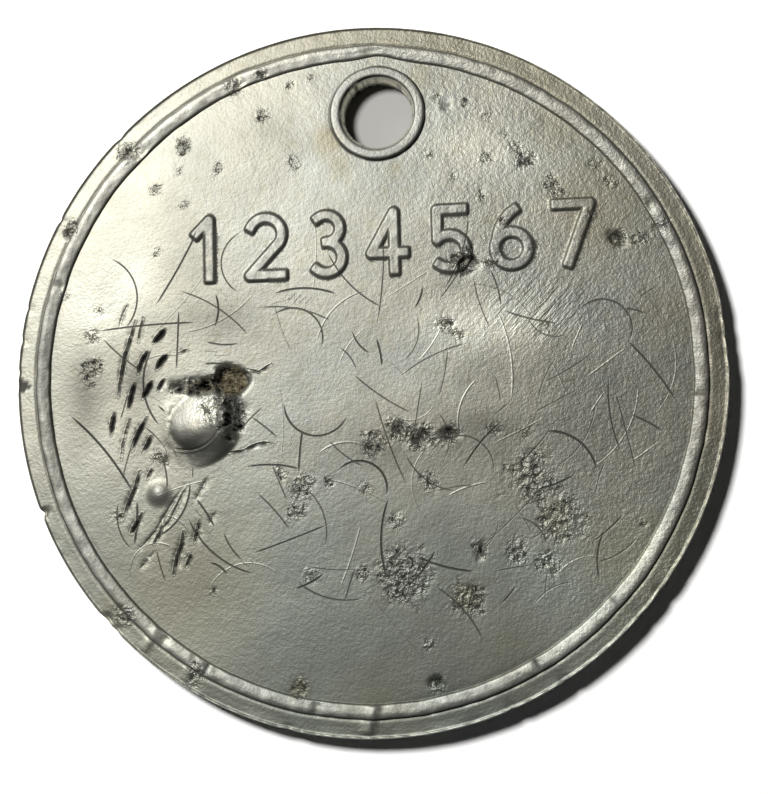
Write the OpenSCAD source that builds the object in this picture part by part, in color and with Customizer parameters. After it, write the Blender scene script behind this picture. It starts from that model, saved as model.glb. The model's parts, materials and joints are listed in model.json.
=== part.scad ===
/* [Disc] */
// Diameter of the disc
disc_d = 45; // [40:0.5:60]
// Thickness of the flat border outside the bead
border_t = 1.6; // [1.3:0.1:2.4]
// How far the field inside the bead lies below the border
field_drop = 0.1; // [0:0.05:0.3]
// Slope cut off the top of the outer edge
edge_chamfer = 0.3; // [0.1:0.05:0.5]
// Slope cut off the back of the outer edge and of the hole
back_chamfer = 0.2; // [0.1:0.05:0.4]

/* [Bead] */
// Width of the flat border between the edge slope and the bead
border_w = 0.95; // [0.6:0.05:2]
// Width of the bead at its foot
bead_w = 0.95; // [0.6:0.05:1.6]
// Height of the bead over the border
bead_h = 0.2; // [0.1:0.05:0.8]
// Width of the slope on each side of the bead
bead_slope = 0.16; // [0.05:0.01:0.25]

/* [Hole] */
// Diameter of the hole for the cord
bore_d = 4.4; // [3:0.1:6]
// Width of the slope inside the lip of the hole
lip_w = 0.2; // [0.1:0.05:0.4]
// Depth of the slope inside the lip of the hole
lip_depth = 0.3; // [0.2:0.05:1]
// Width of the flat top of the collar round the hole
collar_w = 0.5; // [0.3:0.05:1]
// Height of the collar over the field
collar_h = 0.3; // [0.2:0.05:1]
// Width of the slope outside the collar
collar_slope = 0.16; // [0.05:0.01:0.3]
// Distance from the foot of the collar to the foot of the bead
collar_gap = 0.4; // [0.3:0.05:2]
// Width of the clear ring kept round the collar, which pares the bead where it passes the hole
clear_w = 0.65; // [0.6:0.05:1.1]
// Turn of the hole away from the top of the disc, in degrees
hole_turn = -2.5; // [-5:0.1:5]

/* [Number] */
// Height of a digit
digit_h = 4.5; // [3:0.1:6]
// Width of a digit
digit_w = 2.9; // [2.2:0.1:3.4]
// Distance from one digit to the next
digit_pitch = 3.9; // [3.5:0.1:4.4]
// Width of a digit's strokes at the foot
stroke_w = 0.8; // [0.5:0.05:1]
// Height of the digits over the field
digit_relief = 0.2; // [0.1:0.05:0.6]
// Width of the slope on each side of a stroke
stroke_slope = 0.14; // [0.05:0.01:0.2]
// Distance from the foot of the collar down to the top of the digits
row_gap = 3.0; // [1.5:0.1:4]
// Shift of the row of digits to the right
row_x = 1.4; // [-1:0.05:1.5]
// Turn of the row of digits, in degrees
row_turn = 1.4; // [-5:0.1:5]

/* [Damage] */
// Radius of the largest blister at its foot
blister_r = 2.5; // [1.5:0.1:3]
// Height of the largest blister
blister_h = 1.3; // [0.6:0.1:1.4]
// Radius of the largest corrosion pit
pit_r = 0.95; // [0.4:0.05:1.3]
// Depth of the largest corrosion pit
pit_depth = 0.8; // [0.3:0.05:0.9]
// Depth of the deepest chip in the outer edge, measured inwards
chip_depth = 0.8; // [0.3:0.05:1.1]
// Height of the cold-shut scars over the border
scar_h = 0.12; // [0.05:0.01:0.2]

/* [Hidden] */
$fn = 96;

// Depth that added relief is sunk into the disc, so that it is one solid
ROOT = 0.4;
// Length that a cutter runs past what it cuts
PAST = 1;
// Radius of the joint between two strokes as a share of half a stroke's width, a little inside their sides
JOINT = 0.96;
METAL = [0.66, 0.65, 0.59];
// Digits of the raised number, a plain count with no meaning
NUMBER = [1, 2, 3, 4, 5, 6, 7];

disc_r = disc_d / 2;
field_t = border_t - field_drop;
bead_out_r = disc_r - edge_chamfer - border_w;
bead_in_r = bead_out_r - bead_w;
bead_top = border_t + bead_h;

bore_r = bore_d / 2;
lip_r = bore_r + lip_w;
collar_top_r = lip_r + collar_w;
collar_r = collar_top_r + collar_slope;
collar_top = field_t + collar_h;
hole_dist = bead_in_r - collar_gap - collar_r;

// Half the height and half the width of a digit, measured on the middle of its strokes
half_h = (digit_h - stroke_w) / 2;
half_w = (digit_w - stroke_w) / 2;
row_y = hole_dist - collar_r - row_gap - digit_h / 2;

// Blisters: place as a share of the bead's inner radius and an angle, then radius and height as shares of
// the largest blister's
BLISTERS = [
    //  out, angle, radius, height
    [0.540, 197.0,   1.00,   1.00],
    [0.749, 209.5,   0.30,   0.40],
    [0.713, 201.4,   0.22,   0.22]
];

// Pits: place as above, then radius and depth as shares of the largest pit's
PITS = [
    //  out, angle, radius, depth
    [0.423, 180.9,   1.00,   1.00],
    [0.503, 183.1,   0.75,   0.60],
    [0.394, 195.5,   0.60,   0.55],
    [0.470,  47.5,   0.75,   0.55],
    [0.315, 325.6,   0.50,   0.45],
    [0.591, 322.4,   0.55,   0.35],
    [0.669, 318.2,   0.60,   0.35],
    [0.633, 281.5,   0.50,   0.40],
    [0.855,  73.4,   0.30,   0.30],
    [0.792, 129.9,   0.35,   0.25],
    [0.938, 263.8,   0.35,   0.40]
];

// Chips in the outer edge: angle, width along the edge and depth inwards as shares of the deepest chip's
// depth, and the height over the back at which the chip starts as a share of the border's thickness
CHIPS = [
    // angle, width, depth, from
    [  181.1,   1.3,  1.00, 0.35],
    [    5.5,   2.6,  0.35, 0.30],
    [  223.4,   1.2,  0.40, 0.60],
    [  202.5,   0.5,  0.50, 0.60],
    [  293.7,   0.5,  0.30, 0.50],
    [  323.4,   1.6,  0.25, 0.40]
];

// Cold-shut scars, where the metal met itself in the mould: angle round the disc, turn of the scar away from
// a radius, in degrees, and width as a share of a bead's width
SCARS = [
    // angle, turn, width
    [  271.8,  -14,  0.42],
    [  237.7,   18,  0.25]
];

// Columns of the tables of blisters and pits
function out_share(row) = row[0];
function place_angle(row) = row[1];
function radius_share(row) = row[2];
function height_share(row) = row[3];

// Columns of the table of chips
function chip_angle(row) = row[0];
function chip_width_share(row) = row[1];
function chip_depth_share(row) = row[2];
function chip_from_share(row) = row[3];

// Columns of the table of scars
function scar_angle(row) = row[0];
function scar_turn(row) = row[1];
function scar_width_share(row) = row[2];

// A place on the field, as a share of the bead's inner radius and an angle
module on_field(row) {
    rotate(place_angle(row))
        translate([out_share(row) * bead_in_r, 0, 0])
            children();
}

// The place of the hole's axis
module at_hole() {
    rotate(hole_turn)
        translate([0, hole_dist, 0])
            children();
}

// The cast disc with its border, its bead and its lower field
module blank() {
    rotate_extrude()
        polygon([
            [0, 0],
            [disc_r - back_chamfer, 0],
            [disc_r, back_chamfer],
            [disc_r, border_t - edge_chamfer],
            [disc_r - edge_chamfer, border_t],
            [bead_out_r, border_t],
            [bead_out_r - bead_slope, bead_top],
            [bead_in_r + bead_slope, bead_top],
            [bead_in_r, field_t],
            [0, field_t]
        ]);
}

// The clear ring round the collar, down to the level of the field
module collar_clearance() {
    at_hole()
        translate([0, 0, field_t])
            cylinder(r = collar_r + clear_w, h = bead_top + PAST);
}

// The raised collar round the hole
module collar() {
    at_hole()
        rotate_extrude()
            polygon([
                [0, field_t - ROOT],
                [collar_r, field_t - ROOT],
                [collar_r, field_t],
                [collar_top_r, collar_top],
                [0, collar_top]
            ]);
}

// The hole with its sloped lip and its broken back edge
module bore() {
    at_hole()
        rotate_extrude()
            polygon([
                [0, -PAST],
                [bore_r + back_chamfer + PAST, -PAST],
                [bore_r, back_chamfer],
                [bore_r, collar_top - lip_depth],
                [lip_r, collar_top],
                [lip_r, collar_top + PAST],
                [0, collar_top + PAST]
            ]);
}

// Section of a stroke: the sloped ridge, sunk into the field by ROOT
module stroke_section() {
    polygon([
        [-stroke_w / 2, -ROOT],
        [stroke_w / 2, -ROOT],
        [stroke_w / 2, 0],
        [stroke_w / 2 - stroke_slope, digit_relief],
        [stroke_slope - stroke_w / 2, digit_relief],
        [-stroke_w / 2, 0]
    ]);
}

// View of a straight stroke from its side: a blunt end slopes and stands half a stroke past its point, and
// an end that meets another stroke stops there
module stroke_side(length, blunt_start, blunt_end) {
    start = blunt_start ? -stroke_w / 2 : 0;
    end = blunt_end ? length + stroke_w / 2 : length;
    polygon([
        [start, -ROOT],
        [end, -ROOT],
        [end, 0],
        [end - (blunt_end ? stroke_slope : 0), digit_relief],
        [start + (blunt_start ? stroke_slope : 0), digit_relief],
        [start, 0]
    ]);
}

// A straight stroke from point p to point q
module bar(p, q, blunt_start = false, blunt_end = false) {
    run = q - p;
    length = norm(run);
    translate([p.x, p.y, field_t])
        rotate(atan2(run.y, run.x))
            intersection() {
                translate([-stroke_w, 0, 0])
                    rotate([90, 0, 90])
                        linear_extrude(length + 2 * stroke_w)
                            stroke_section();
                rotate([90, 0, 0])
                    linear_extrude(2 * stroke_w, center = true)
                        stroke_side(length, blunt_start, blunt_end);
            }
}

// A round stroke about a centre, from one angle to another, anticlockwise from the right
module arc(centre, radius, from, to) {
    translate([centre.x, centre.y, field_t])
        rotate(from)
            rotate_extrude(angle = to - from)
                translate([radius, 0])
                    stroke_section();
}

// A round joint where two strokes meet at an angle
module knuckle(p) {
    foot = JOINT * stroke_w / 2;
    translate([p.x, p.y, field_t]) {
        translate([0, 0, -ROOT])
            cylinder(r = foot, h = ROOT);
        cylinder(r1 = foot, r2 = foot - stroke_slope, h = digit_relief);
    }
}

function on_circle(centre, radius, angle) = centre + radius * [cos(angle), sin(angle)];

module digit_one() {
    flag = 0.8 * half_w;
    top = [0.25 * half_w, half_h];
    knuckle(top);
    bar(top, [top.x, -half_h], blunt_end = true);
    bar(top, top - [flag, flag], blunt_end = true);
}

module digit_two() {
    centre = [0, half_h - half_w];
    neck_angle = -35;
    neck = on_circle(centre, half_w, neck_angle);
    foot = [-half_w, -half_h];
    arc(centre, half_w, from = neck_angle, to = 175);
    knuckle(neck);
    bar(neck, foot);
    knuckle(foot);
    bar(foot, [half_w, -half_h], blunt_end = true);
}

module digit_three() {
    upper = 0.47 * half_h;
    lower = half_h - upper;
    arc([0, half_h - upper], upper, from = -115, to = 155);
    arc([0, lower - half_h], lower, from = -155, to = 105);
}

module digit_four() {
    top = [0.4 * half_w, half_h];
    elbow = [-half_w, -0.4 * half_h];
    knuckle(top);
    bar(top, [top.x, -half_h], blunt_end = true);
    bar(top, elbow);
    knuckle(elbow);
    bar(elbow, [half_w, elbow.y], blunt_end = true);
}

module digit_five() {
    centre = [0, half_w - half_h];
    waist_angle = 135;
    waist = on_circle(centre, half_w, waist_angle);
    corner = [waist.x, half_h];
    arc(centre, half_w, from = -150, to = waist_angle);
    knuckle(waist);
    bar(waist, corner);
    knuckle(corner);
    bar(corner, [0.85 * half_w, half_h], blunt_end = true);
}

module digit_six() {
    centre = [0, half_w - half_h];
    join = on_circle(centre, half_w, 150);
    stem_angle = 175;
    stem_r = 1.4 * half_h;
    arc(centre, half_w, from = 0, to = 360);
    knuckle(join);
    arc(on_circle(join, -stem_r, stem_angle), stem_r, from = 115, to = stem_angle);
}

module digit_seven() {
    corner = [half_w, half_h];
    knuckle(corner);
    bar(corner, [-half_w, half_h], blunt_end = true);
    bar(corner, [-0.35 * half_w, -half_h], blunt_end = true);
}

module digit(value) {
    if (value == 1) digit_one();
    if (value == 2) digit_two();
    if (value == 3) digit_three();
    if (value == 4) digit_four();
    if (value == 5) digit_five();
    if (value == 6) digit_six();
    if (value == 7) digit_seven();
}

// The raised number in a straight row
module number() {
    middle = (len(NUMBER) - 1) / 2;
    translate([row_x, row_y, 0])
        rotate(row_turn)
            for (i = [0 : len(NUMBER) - 1])
                translate([(i - middle) * digit_pitch, 0, 0])
                    digit(NUMBER[i]);
}

// Radius of the ball whose cap has this radius at its foot and this height
function ball_radius(foot, height) = (foot * foot + height * height) / (2 * height);

// Domes where gas swelled the metal, each a cap of a ball that meets the field at its foot
module blisters() {
    for (row = BLISTERS) {
        foot = radius_share(row) * blister_r;
        height = height_share(row) * blister_h;
        ball = ball_radius(foot, height);
        on_field(row)
            translate([0, 0, field_t])
                rotate_extrude()
                    intersection() {
                        translate([0, height - ball])
                            circle(ball);
                        translate([0, -ROOT])
                            square([ball, ball + ROOT]);
                    }
    }
}

// A cup with a round floor, sunk into the field and open above it
module cup(mouth, depth) {
    ball = ball_radius(mouth, depth);
    translate([0, 0, field_t])
        rotate_extrude()
            union() {
                intersection() {
                    translate([0, ball - depth])
                        circle(ball);
                    translate([0, -depth])
                        square([mouth, depth]);
                }
                square([mouth, PAST]);
            }
}

// Hollows that corrosion has eaten into the face
module pits() {
    for (row = PITS)
        on_field(row)
            cup(radius_share(row) * pit_r, height_share(row) * pit_depth);
}

// Notches knocked out of the outer edge
module chips() {
    for (row = CHIPS) {
        half = chip_width_share(row) * chip_depth / 2;
        depth = chip_depth_share(row) * chip_depth;
        rotate(chip_angle(row))
            translate([disc_r, 0, chip_from_share(row) * border_t])
                linear_extrude(border_t + PAST)
                    polygon([
                        [-depth, 0],
                        [-depth / 2, -half / 2],
                        [PAST, -half - PAST],
                        [PAST, half + PAST],
                        [-depth / 2, half / 2]
                    ]);
    }
}

// Low ridges that cross the border and the bead, with a step where the bead rises
module scars() {
    span = bead_w + border_w;
    for (row = SCARS) {
        width = scar_width_share(row) * bead_w;
        rotate(scar_angle(row))
            translate([disc_r - edge_chamfer - span / 2, 0, 0])
                rotate(scar_turn(row))
                    translate([-span / 2, -width / 2, border_t - ROOT]) {
                        cube([span, width, ROOT + scar_h]);
                        cube([bead_w, width, ROOT + bead_h + scar_h]);
                    }
    }
}

module disc() {
    color(METAL)
        difference() {
            union() {
                difference() {
                    blank();
                    collar_clearance();
                }
                collar();
                number();
                blisters();
                scars();
            }
            bore();
            pits();
            chips();
        }
}

disc();
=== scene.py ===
# %% [markdown]
# An identification dog tag is a round disc that was cast in zinc in one pour. It has a raised bead around
# a flat field, a hole for a cord with a collar around it, and a raised number. Long burial has pitted it.
# The exact solid comes from the CAD step and is loaded first. This script then makes one closed skin over
# it that has the same sizes and adds what a casting really looks like: soft corners, grain and damage.

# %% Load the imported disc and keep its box
import json
import math
import random

import bmesh
import bpy
import numpy as np
from mathutils import Matrix, Vector, noise


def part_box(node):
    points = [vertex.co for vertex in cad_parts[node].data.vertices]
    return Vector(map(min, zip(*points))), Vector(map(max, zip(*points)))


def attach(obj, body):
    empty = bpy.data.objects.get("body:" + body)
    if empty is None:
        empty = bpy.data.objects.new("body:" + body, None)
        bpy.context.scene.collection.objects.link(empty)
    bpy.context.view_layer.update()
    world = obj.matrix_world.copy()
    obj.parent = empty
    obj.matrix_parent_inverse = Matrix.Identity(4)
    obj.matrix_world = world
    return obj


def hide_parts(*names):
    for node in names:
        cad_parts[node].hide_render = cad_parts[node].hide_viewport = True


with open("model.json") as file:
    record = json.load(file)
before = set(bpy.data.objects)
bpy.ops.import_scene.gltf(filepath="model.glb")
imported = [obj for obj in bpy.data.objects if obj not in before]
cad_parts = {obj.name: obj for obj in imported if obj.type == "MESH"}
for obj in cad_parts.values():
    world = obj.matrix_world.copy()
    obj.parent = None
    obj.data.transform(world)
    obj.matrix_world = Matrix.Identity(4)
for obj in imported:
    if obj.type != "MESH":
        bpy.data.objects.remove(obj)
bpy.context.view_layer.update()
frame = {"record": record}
MM = 0.001
low, high = (np.array(corner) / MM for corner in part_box("disc"))
print("disc in mm:", np.round(high - low, 2))

# %% [markdown]
# Every size below is in millimetres, because a disc as small as a coin is easier to read that way. The
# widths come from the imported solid's own box and from its record, so the skin always fits the solid. The
# few heights that a box can't tell are named here once.

# %% Sizes of the casting
edge_r = (high[0] - low[0]) / 2
hole = next(mount for mount in frame["record"]["mounts"] if mount["name"] == "cord_hole")
hole_x = hole["pos_m"][0] / MM
hole_y = hole["pos_m"][1] / MM
bore_r = hole["dims"]["r_mm"]
border_z = 1.6
field_z = 1.5
bead_in_r = 20.3
bead_out_r = 21.25
bead_top = 1.8
collar_r = bore_r + 0.86
collar_top = 1.8
print("edge, bore and collar radius:", edge_r, bore_r, round(collar_r, 2))

# %% [markdown]
# A cast face is never a mirror-flat plane, so most of the shapes below are soft fields of noise. Blender's
# own noise works on one point at a time. These helpers run it over a whole list of points, fade a value
# softly between two limits, spread a chart of patches or humps over the face, and measure how far points
# lie from a scratched line.

# %% Helpers for soft shapes


def fade(start, end, value):
    """0 before start, 1 after end, and a soft S between them."""
    share = np.clip((value - start) / (end - start), 0, 1)
    return share * share * (3 - 2 * share)


def grain(x, y, size, seed, octaves=3):
    """Smooth noise from about -1 to 1 whose lumps are this many millimetres wide."""
    return np.array([
        noise.fractal(Vector((a / size, b / size, seed)), 1.0, 2.0, octaves)
        for a, b in zip(np.ravel(x), np.ravel(y))
    ])


def line_at(value, middle, width):
    """1 on a thin line where the value meets the middle, fading to 0 at this width."""
    return 1 - fade(0, width, np.abs(value - middle))


def turned(x, y, middle, along, across, degrees):
    """Places seen from a middle along two turned directions, as shares of a reach along each."""
    angle = math.radians(degrees)
    u = ((x - middle[0]) * math.cos(angle) + (y - middle[1]) * math.sin(angle)) / along
    v = ((y - middle[1]) * math.cos(angle) - (x - middle[0]) * math.sin(angle)) / across
    return u, v


def from_oval(x, y, middle, along, across):
    """Distance from the middle of an oval, which is 1 on the oval itself."""
    return np.hypot((x - middle[0]) / along, (y - middle[1]) / across)


def humps(x, y, chart):
    """The sum of soft humps and dips, one for each row of place, two reaches, turn and height."""
    height = np.zeros(len(x))
    for px, py, along, across, degrees, lift in chart:
        u, v = turned(x, y, (px, py), along, across, degrees)
        height += lift * np.exp(-(u * u + v * v))
    return height


def patches(x, y, chart, start, end, warp=0):
    """The strongest of some round patches at each point, from rows of place, radius and strength."""
    share = np.zeros(len(x))
    for px, py, radius, strength in chart:
        away = np.hypot(x - px, y - py) / radius + warp
        share = np.maximum(share, strength * (1 - fade(start, end, away)))
    return share


def along_line(x, y, points):
    """Signed distance from a line through these points, and the share of its length that lies behind."""
    points = np.array(points, float)
    steps = np.linalg.norm(np.diff(points, axis=0), axis=1)
    behind = np.concatenate([[0], np.cumsum(steps)])
    nearest = np.full(len(x), 1e9)
    side = np.zeros(len(x))
    share = np.zeros(len(x))
    for i, step in enumerate(steps):
        run = (points[i + 1] - points[i]) / step
        u = (x - points[i][0]) * run[0] + (y - points[i][1]) * run[1]
        v = (y - points[i][1]) * run[0] - (x - points[i][0]) * run[1]
        clamped = np.clip(u, 0, step)
        away = np.hypot(u - clamped, v)
        closer = away < nearest
        nearest = np.where(closer, away, nearest)
        side = np.where(closer, np.where(v < 0, -1, 1), side)
        share = np.where(closer, (behind[i] + clamped) / behind[-1], share)
    return nearest * side, share


# %% [markdown]
# The field is the flat face inside the bead. A disc made as rings around a centre wastes most of its
# points in the middle, and a square grid has no round edge. So a square grid is pressed into a disc: each
# square ring of the grid becomes a circle, and the cells stay nearly even all over.

# %% The field, a square grid pressed round


def press_round(bm, radius):
    """Moves the points of a grid from -1 to 1 so that its square rings become circles."""
    for vert in bm.verts:
        a, b = vert.co.x, vert.co.y
        if max(abs(a), abs(b)) < 1e-9:
            continue
        if abs(a) > abs(b):
            reach, angle = a, math.pi / 4 * b / a
        else:
            reach, angle = b, math.pi / 2 - math.pi / 4 * a / b
        vert.co.x = radius * reach * math.cos(angle)
        vert.co.y = radius * reach * math.sin(angle)


FIELD_CELLS = 144
RIM_STEPS = 4 * FIELD_CELLS
field_r = bead_in_r - 0.02
tag = bmesh.new()
bmesh.ops.create_grid(tag, x_segments=FIELD_CELLS, y_segments=FIELD_CELLS, size=1)
press_round(tag, field_r)
bmesh.ops.translate(tag, vec=(0, 0, field_z), verts=tag.verts)
print("field:", len(tag.faces), "cells of about", round(2 * field_r / FIELD_CELLS, 2), "mm")

# %% [markdown]
# The cord hole and its collar are round, so they are one outline turned about the hole's own middle. The
# outline goes from corner to corner, with small steps near each one that make it soft. The field gets a
# round opening first: its cells near the hole are taken away, and the points around the gap are pulled
# onto a circle. Small triangles then close the narrow ring between it and the turned collar.

# %% The cord hole and its collar


def near_corner(radius, z, *steps):
    """Points of an outline, each a step outwards and a step up from one corner."""
    return [(radius + outwards, z + up) for outwards, up in steps]


def turn_outline(bm, outline, centre, steps):
    """Spins an outline of radius and height about an upright line, and returns the new points."""
    old = set(bm.verts)
    verts = [bm.verts.new((centre[0] + radius, centre[1], z)) for radius, z in outline]
    edges = [bm.edges.new(pair) for pair in zip(verts, verts[1:])]
    bmesh.ops.spin(
        bm,
        geom=verts + edges,
        cent=(centre[0], centre[1], 0),
        axis=(0, 0, 1),
        angle=2 * math.pi,
        steps=steps,
        use_merge=True,
    )
    return [vert for vert in bm.verts if vert not in old]


def open_round(bm, centre, radius, z):
    """Cuts a round opening in a flat part of the mesh and returns the edges around it."""
    old_rim = {edge for edge in bm.edges if edge.is_boundary}
    inside = [
        vert for vert in bm.verts
        if abs(vert.co.z - z) < 1e-4
        and math.hypot(vert.co.x - centre[0], vert.co.y - centre[1]) < radius
    ]
    bmesh.ops.delete(bm, geom=inside, context="VERTS")
    rim = [edge for edge in bm.edges if edge.is_boundary and edge not in old_rim]
    verts = {vert for edge in rim for vert in edge.verts}
    turns = {vert: math.atan2(vert.co.y - centre[1], vert.co.x - centre[0]) for vert in verts}
    order = sorted(verts, key=turns.get)
    angles = np.array([turns[vert] for vert in order])
    for _ in range(12):
        before = np.roll(angles, 1)
        before[0] -= math.tau
        after = np.roll(angles, -1)
        after[-1] += math.tau
        angles = (before + 2 * angles + after) / 4
    for vert, angle in zip(order, angles):
        vert.co.x = centre[0] + (radius + 0.05) * math.cos(angle)
        vert.co.y = centre[1] + (radius + 0.05) * math.sin(angle)
    return rim


def ring_edges(bm, centre, radius, z):
    """The open edges that lie on one circle."""
    return [
        edge for edge in bm.edges
        if edge.is_boundary
        and all(
            abs(math.hypot(v.co.x - centre[0], v.co.y - centre[1]) - radius) < 1e-3
            and abs(v.co.z - z) < 1e-3
            for v in edge.verts
        )
    ]


HOLE_STEPS = 160
hole_at = (hole_x, hole_y)
lip_r = bore_r + 0.2
COLLAR_OUTLINE = [
    *near_corner(collar_r, field_z, (0.05, 0), (0.02, -0.01), (0, 0.01), (-0.02, 0.07)),
    *near_corner(collar_r, field_z, (-0.035, 0.15), (-0.055, 0.21)),
    *near_corner(collar_r, collar_top, (-0.08, -0.05), (-0.12, -0.02), (-0.18, -0.005), (-0.28, 0)),
    *near_corner(collar_r, collar_top, (-0.40, 0), (-0.50, 0), (-0.59, -0.01)),
    *near_corner(lip_r, collar_top, (0.03, -0.03), (0.005, -0.08), (-0.01, -0.15), (-0.03, -0.21)),
    *near_corner(bore_r, collar_top, (0.10, -0.26), (0.05, -0.31), (0.01, -0.42)),
    *near_corner(bore_r, 0, (0, 1.2), (0, 0.9), (0, 0.6), (0, 0.28)),
    *near_corner(bore_r, 0, (0.02, 0.12), (0.08, 0.03), (0.18, 0), (0.45, 0)),
]
gap = open_round(tag, hole_at, collar_r + 0.06, field_z)
turn_outline(tag, COLLAR_OUTLINE, hole_at, HOLE_STEPS)
foot = ring_edges(tag, hole_at, *COLLAR_OUTLINE[0])
bmesh.ops.triangle_fill(tag, use_beauty=True, edges=gap + foot)
print("collar:", len(COLLAR_OUTLINE), "rings of", HOLE_STEPS, "points, gap", len(gap), "edges")

# %% [markdown]
# The bead, the border outside it, the sharp rolled edge and the side wall are one outline turned about
# the middle of the disc. It starts on the field's outer circle with the same number of points, so merging
# doubles welds the two. The rings lie close together in the corners, where dirt and shade are narrow.

# %% The bead, the border and the side wall
bead_mid = (bead_in_r + bead_out_r) / 2
RIM_OUTLINE = [
    (field_r, field_z),
    *near_corner(bead_in_r, field_z, (0, 0), (0.02, 0.03), (0.04, 0.09), (0.06, 0.14), (0.10, 0.18)),
    *near_corner(bead_in_r, field_z, (0.16, 0.205), (0.25, 0.23), (0.34, 0.25), (0.42, 0.266)),
    *near_corner(bead_mid, bead_top, (0.03, -0.018), (0.13, -0.002), (0.22, -0.004)),
    *near_corner(bead_out_r, bead_top, (-0.15, -0.012), (-0.09, -0.03), (-0.055, -0.065), (-0.03, -0.12)),
    *near_corner(bead_out_r, border_z, (-0.01, 0.02), (0.01, -0.03), (0.04, -0.04), (0.08, -0.01)),
    *near_corner(bead_out_r, border_z, (0.26, 0), (0.46, -0.01), (0.64, -0.01), (0.80, 0)),
    *near_corner(edge_r, border_z, (-0.30, 0), (-0.21, 0.01), (-0.16, 0.04), (-0.12, 0.09), (-0.08, 0.10)),
    *near_corner(edge_r, border_z, (-0.05, 0.04), (-0.02, -0.09), (-0.01, -0.30), (0, -0.62), (0, -0.95)),
    *near_corner(edge_r, 0, (-0.01, 0.32), (-0.05, 0.14), (-0.14, 0.03), (-0.28, 0), (-0.70, 0)),
]
turn_outline(tag, RIM_OUTLINE, (0, 0), RIM_STEPS)
bmesh.ops.remove_doubles(tag, verts=tag.verts, dist=5e-3)
print("rim:", len(RIM_OUTLINE), "rings of", RIM_STEPS, "points")

# %% [markdown]
# The back of the real disc is flat and plain, so a few long triangles between its outer circle and the
# circle around the bore are enough to close it.

# %% The flat back
back_edges = ring_edges(tag, (0, 0), RIM_OUTLINE[-1][0], 0)
back_edges += ring_edges(tag, hole_at, COLLAR_OUTLINE[-1][0], 0)
bmesh.ops.triangle_fill(tag, use_beauty=True, edges=back_edges)
bmesh.ops.recalc_face_normals(tag, faces=tag.faces)
print("open edges:", sum(edge.is_boundary for edge in tag.edges), "faces:", len(tag.faces))

# %% [markdown]
# The number is raised from the field. Each digit is a few strokes along centre lines, some straight and
# some round. A stroke stands up by how far a point lies inside it, so its sides come out sloped and soft
# as a mould leaves them. A stroke's free end is square, and where strokes meet the joint is round.

# %% The raised number's strokes
NUMBER = (1, 2, 3, 4, 5, 6, 7)
digit_h = 4.5
digit_w = 2.9
digit_pitch = 3.9
stroke_w = 0.8
digit_relief = 0.2
half_h = (digit_h - stroke_w) / 2
half_w = (digit_w - stroke_w) / 2
row_x = 1.4
row_y = math.hypot(hole_x, hole_y) - collar_r - 3.0 - digit_h / 2
row_turn = 1.4


def on_circle(centre, radius, degrees):
    """The point of a circle in this direction."""
    angle = math.radians(degrees)
    return (centre[0] + radius * math.cos(angle), centre[1] + radius * math.sin(angle))


def bend(centre, radius, start, end, free_start=True, free_end=True):
    """Points of a round stroke. A free end is drawn in by the half stroke that its square end adds."""
    short = math.degrees(stroke_w / 2 / radius)
    first = start + short if free_start else start
    last = end - short if free_end else end
    turns = np.linspace(first, last, 25)
    return [on_circle(centre, radius, turn) for turn in turns]


def digit_strokes(value):
    """The strokes of one digit about its own middle: points, square start, square end."""
    w, h = half_w, half_h
    if value == 1:
        top = (0.25 * w, h)
        return [
            ([top, (top[0], -h)], False, True),
            ([top, (top[0] - 0.8 * w, top[1] - 0.8 * w)], False, True),
        ]
    if value == 2:
        centre = (0, h - w)
        neck = on_circle(centre, w, -35)
        return [
            (bend(centre, w, -35, 175, free_start=False), False, True),
            ([neck, (-w, -h)], False, False),
            ([(-w, -h), (w, -h)], False, True),
        ]
    if value == 3:
        upper = 0.47 * h
        lower = h - upper
        return [
            (bend((0, h - upper), upper, -115, 155), True, True),
            (bend((0, lower - h), lower, -155, 105), True, True),
        ]
    if value == 4:
        top = (0.4 * w, h)
        elbow = (-w, -0.4 * h)
        return [
            ([top, (top[0], -h)], False, True),
            ([top, elbow], False, False),
            ([elbow, (w, elbow[1])], False, True),
        ]
    if value == 5:
        centre = (0, w - h)
        waist = on_circle(centre, w, 135)
        corner = (waist[0], h)
        return [
            (bend(centre, w, -150, 135, free_end=False), True, False),
            ([waist, corner], False, False),
            ([corner, (0.85 * w, h)], False, True),
        ]
    if value == 6:
        centre = (0, w - h)
        join = on_circle(centre, w, 150)
        stem_r = 1.4 * h
        stem_centre = on_circle(join, -stem_r, 175)
        return [
            (bend(centre, w, 0, 360, free_start=False, free_end=False), False, False),
            (bend(stem_centre, stem_r, 115, 175, free_end=False), True, False),
        ]
    corner = (w, h)
    return [
        ([corner, (-w, h)], False, True),
        ([corner, (-0.35 * w, -h)], False, True),
    ]


def stroke_depth(x, y, points, square_start, square_end):
    """How far inside a stroke each point lies, below 0 outside it."""
    depth = np.full(len(x), -9.0)
    last = len(points) - 2
    for i, (p, q) in enumerate(zip(points, points[1:])):
        step = math.hypot(q[0] - p[0], q[1] - p[1])
        run_x, run_y = (q[0] - p[0]) / step, (q[1] - p[1]) / step
        u = (x - p[0]) * run_x + (y - p[1]) * run_y
        v = np.abs((y - p[1]) * run_x - (x - p[0]) * run_y)
        past = np.maximum(np.maximum(-u, u - step), 0)
        square = ((u < 0) & (i == 0) & square_start) | ((u > step) & (i == last) & square_end)
        away = np.where(square, (past ** 5 + v ** 5) ** 0.2, np.hypot(past, v))
        depth = np.maximum(depth, stroke_w / 2 - away)
    return depth


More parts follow.
